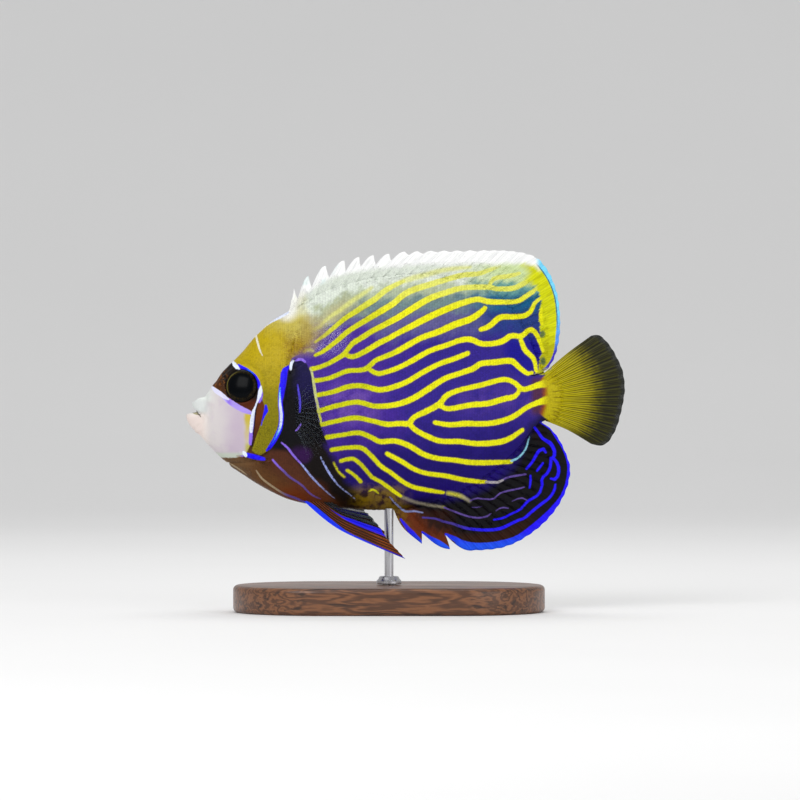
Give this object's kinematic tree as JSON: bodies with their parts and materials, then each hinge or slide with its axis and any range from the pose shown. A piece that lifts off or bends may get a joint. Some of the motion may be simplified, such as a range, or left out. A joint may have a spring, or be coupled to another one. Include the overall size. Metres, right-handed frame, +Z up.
{
  "type": "model fish",
  "caption": "Life-size model of a young emperor angelfish in its changing coat, held up by a rod on a flat display stand.",
  "frame": {"origin": "centre of the overall box's bottom face, which is the underside of the stand's base", "axes": "+X runs from snout to tail, +Y towards the fish's right side, +Z up"},
  "size_m": [0.1459, 0.0672, 0.1205],
  "materials": {
    "head_skin": "satin, painted: pinkish muzzle, brown mask, gold cheek",
    "striped_skin": "satin, painted: yellow stripes on violet blue",
    "tail_skin": "satin, painted yellow",
    "pale_fin": "satin",
    "dark_fin": "satin",
    "tail_fin": "satin",
    "clear_fin": "satin",
    "eye": "glossy",
    "stand_wood": "satin, varnished",
    "stand_metal": "brushed"
  },
  "bodies": {
    "root": {"head": "head_skin", "trunk": "striped_skin", "tail_base": "tail_skin", "gill_cover_left": "head_skin", "gill_cover_right": "head_skin", "eye_left": "eye", "eye_right": "eye", "dorsal_fin_spiny": "pale_fin", "dorsal_fin_soft": "pale_fin", "anal_fin_spiny": "dark_fin", "anal_fin_soft": "dark_fin", "tail_fin": "tail_fin", "pectoral_fin_left": "clear_fin", "pectoral_fin_right": "clear_fin", "pelvic_fin_left": "dark_fin", "pelvic_fin_right": "dark_fin", "stand_base": "stand_wood", "stand_collar": "stand_metal", "stand_rod": "stand_metal"}
  },
  "joints": []
}
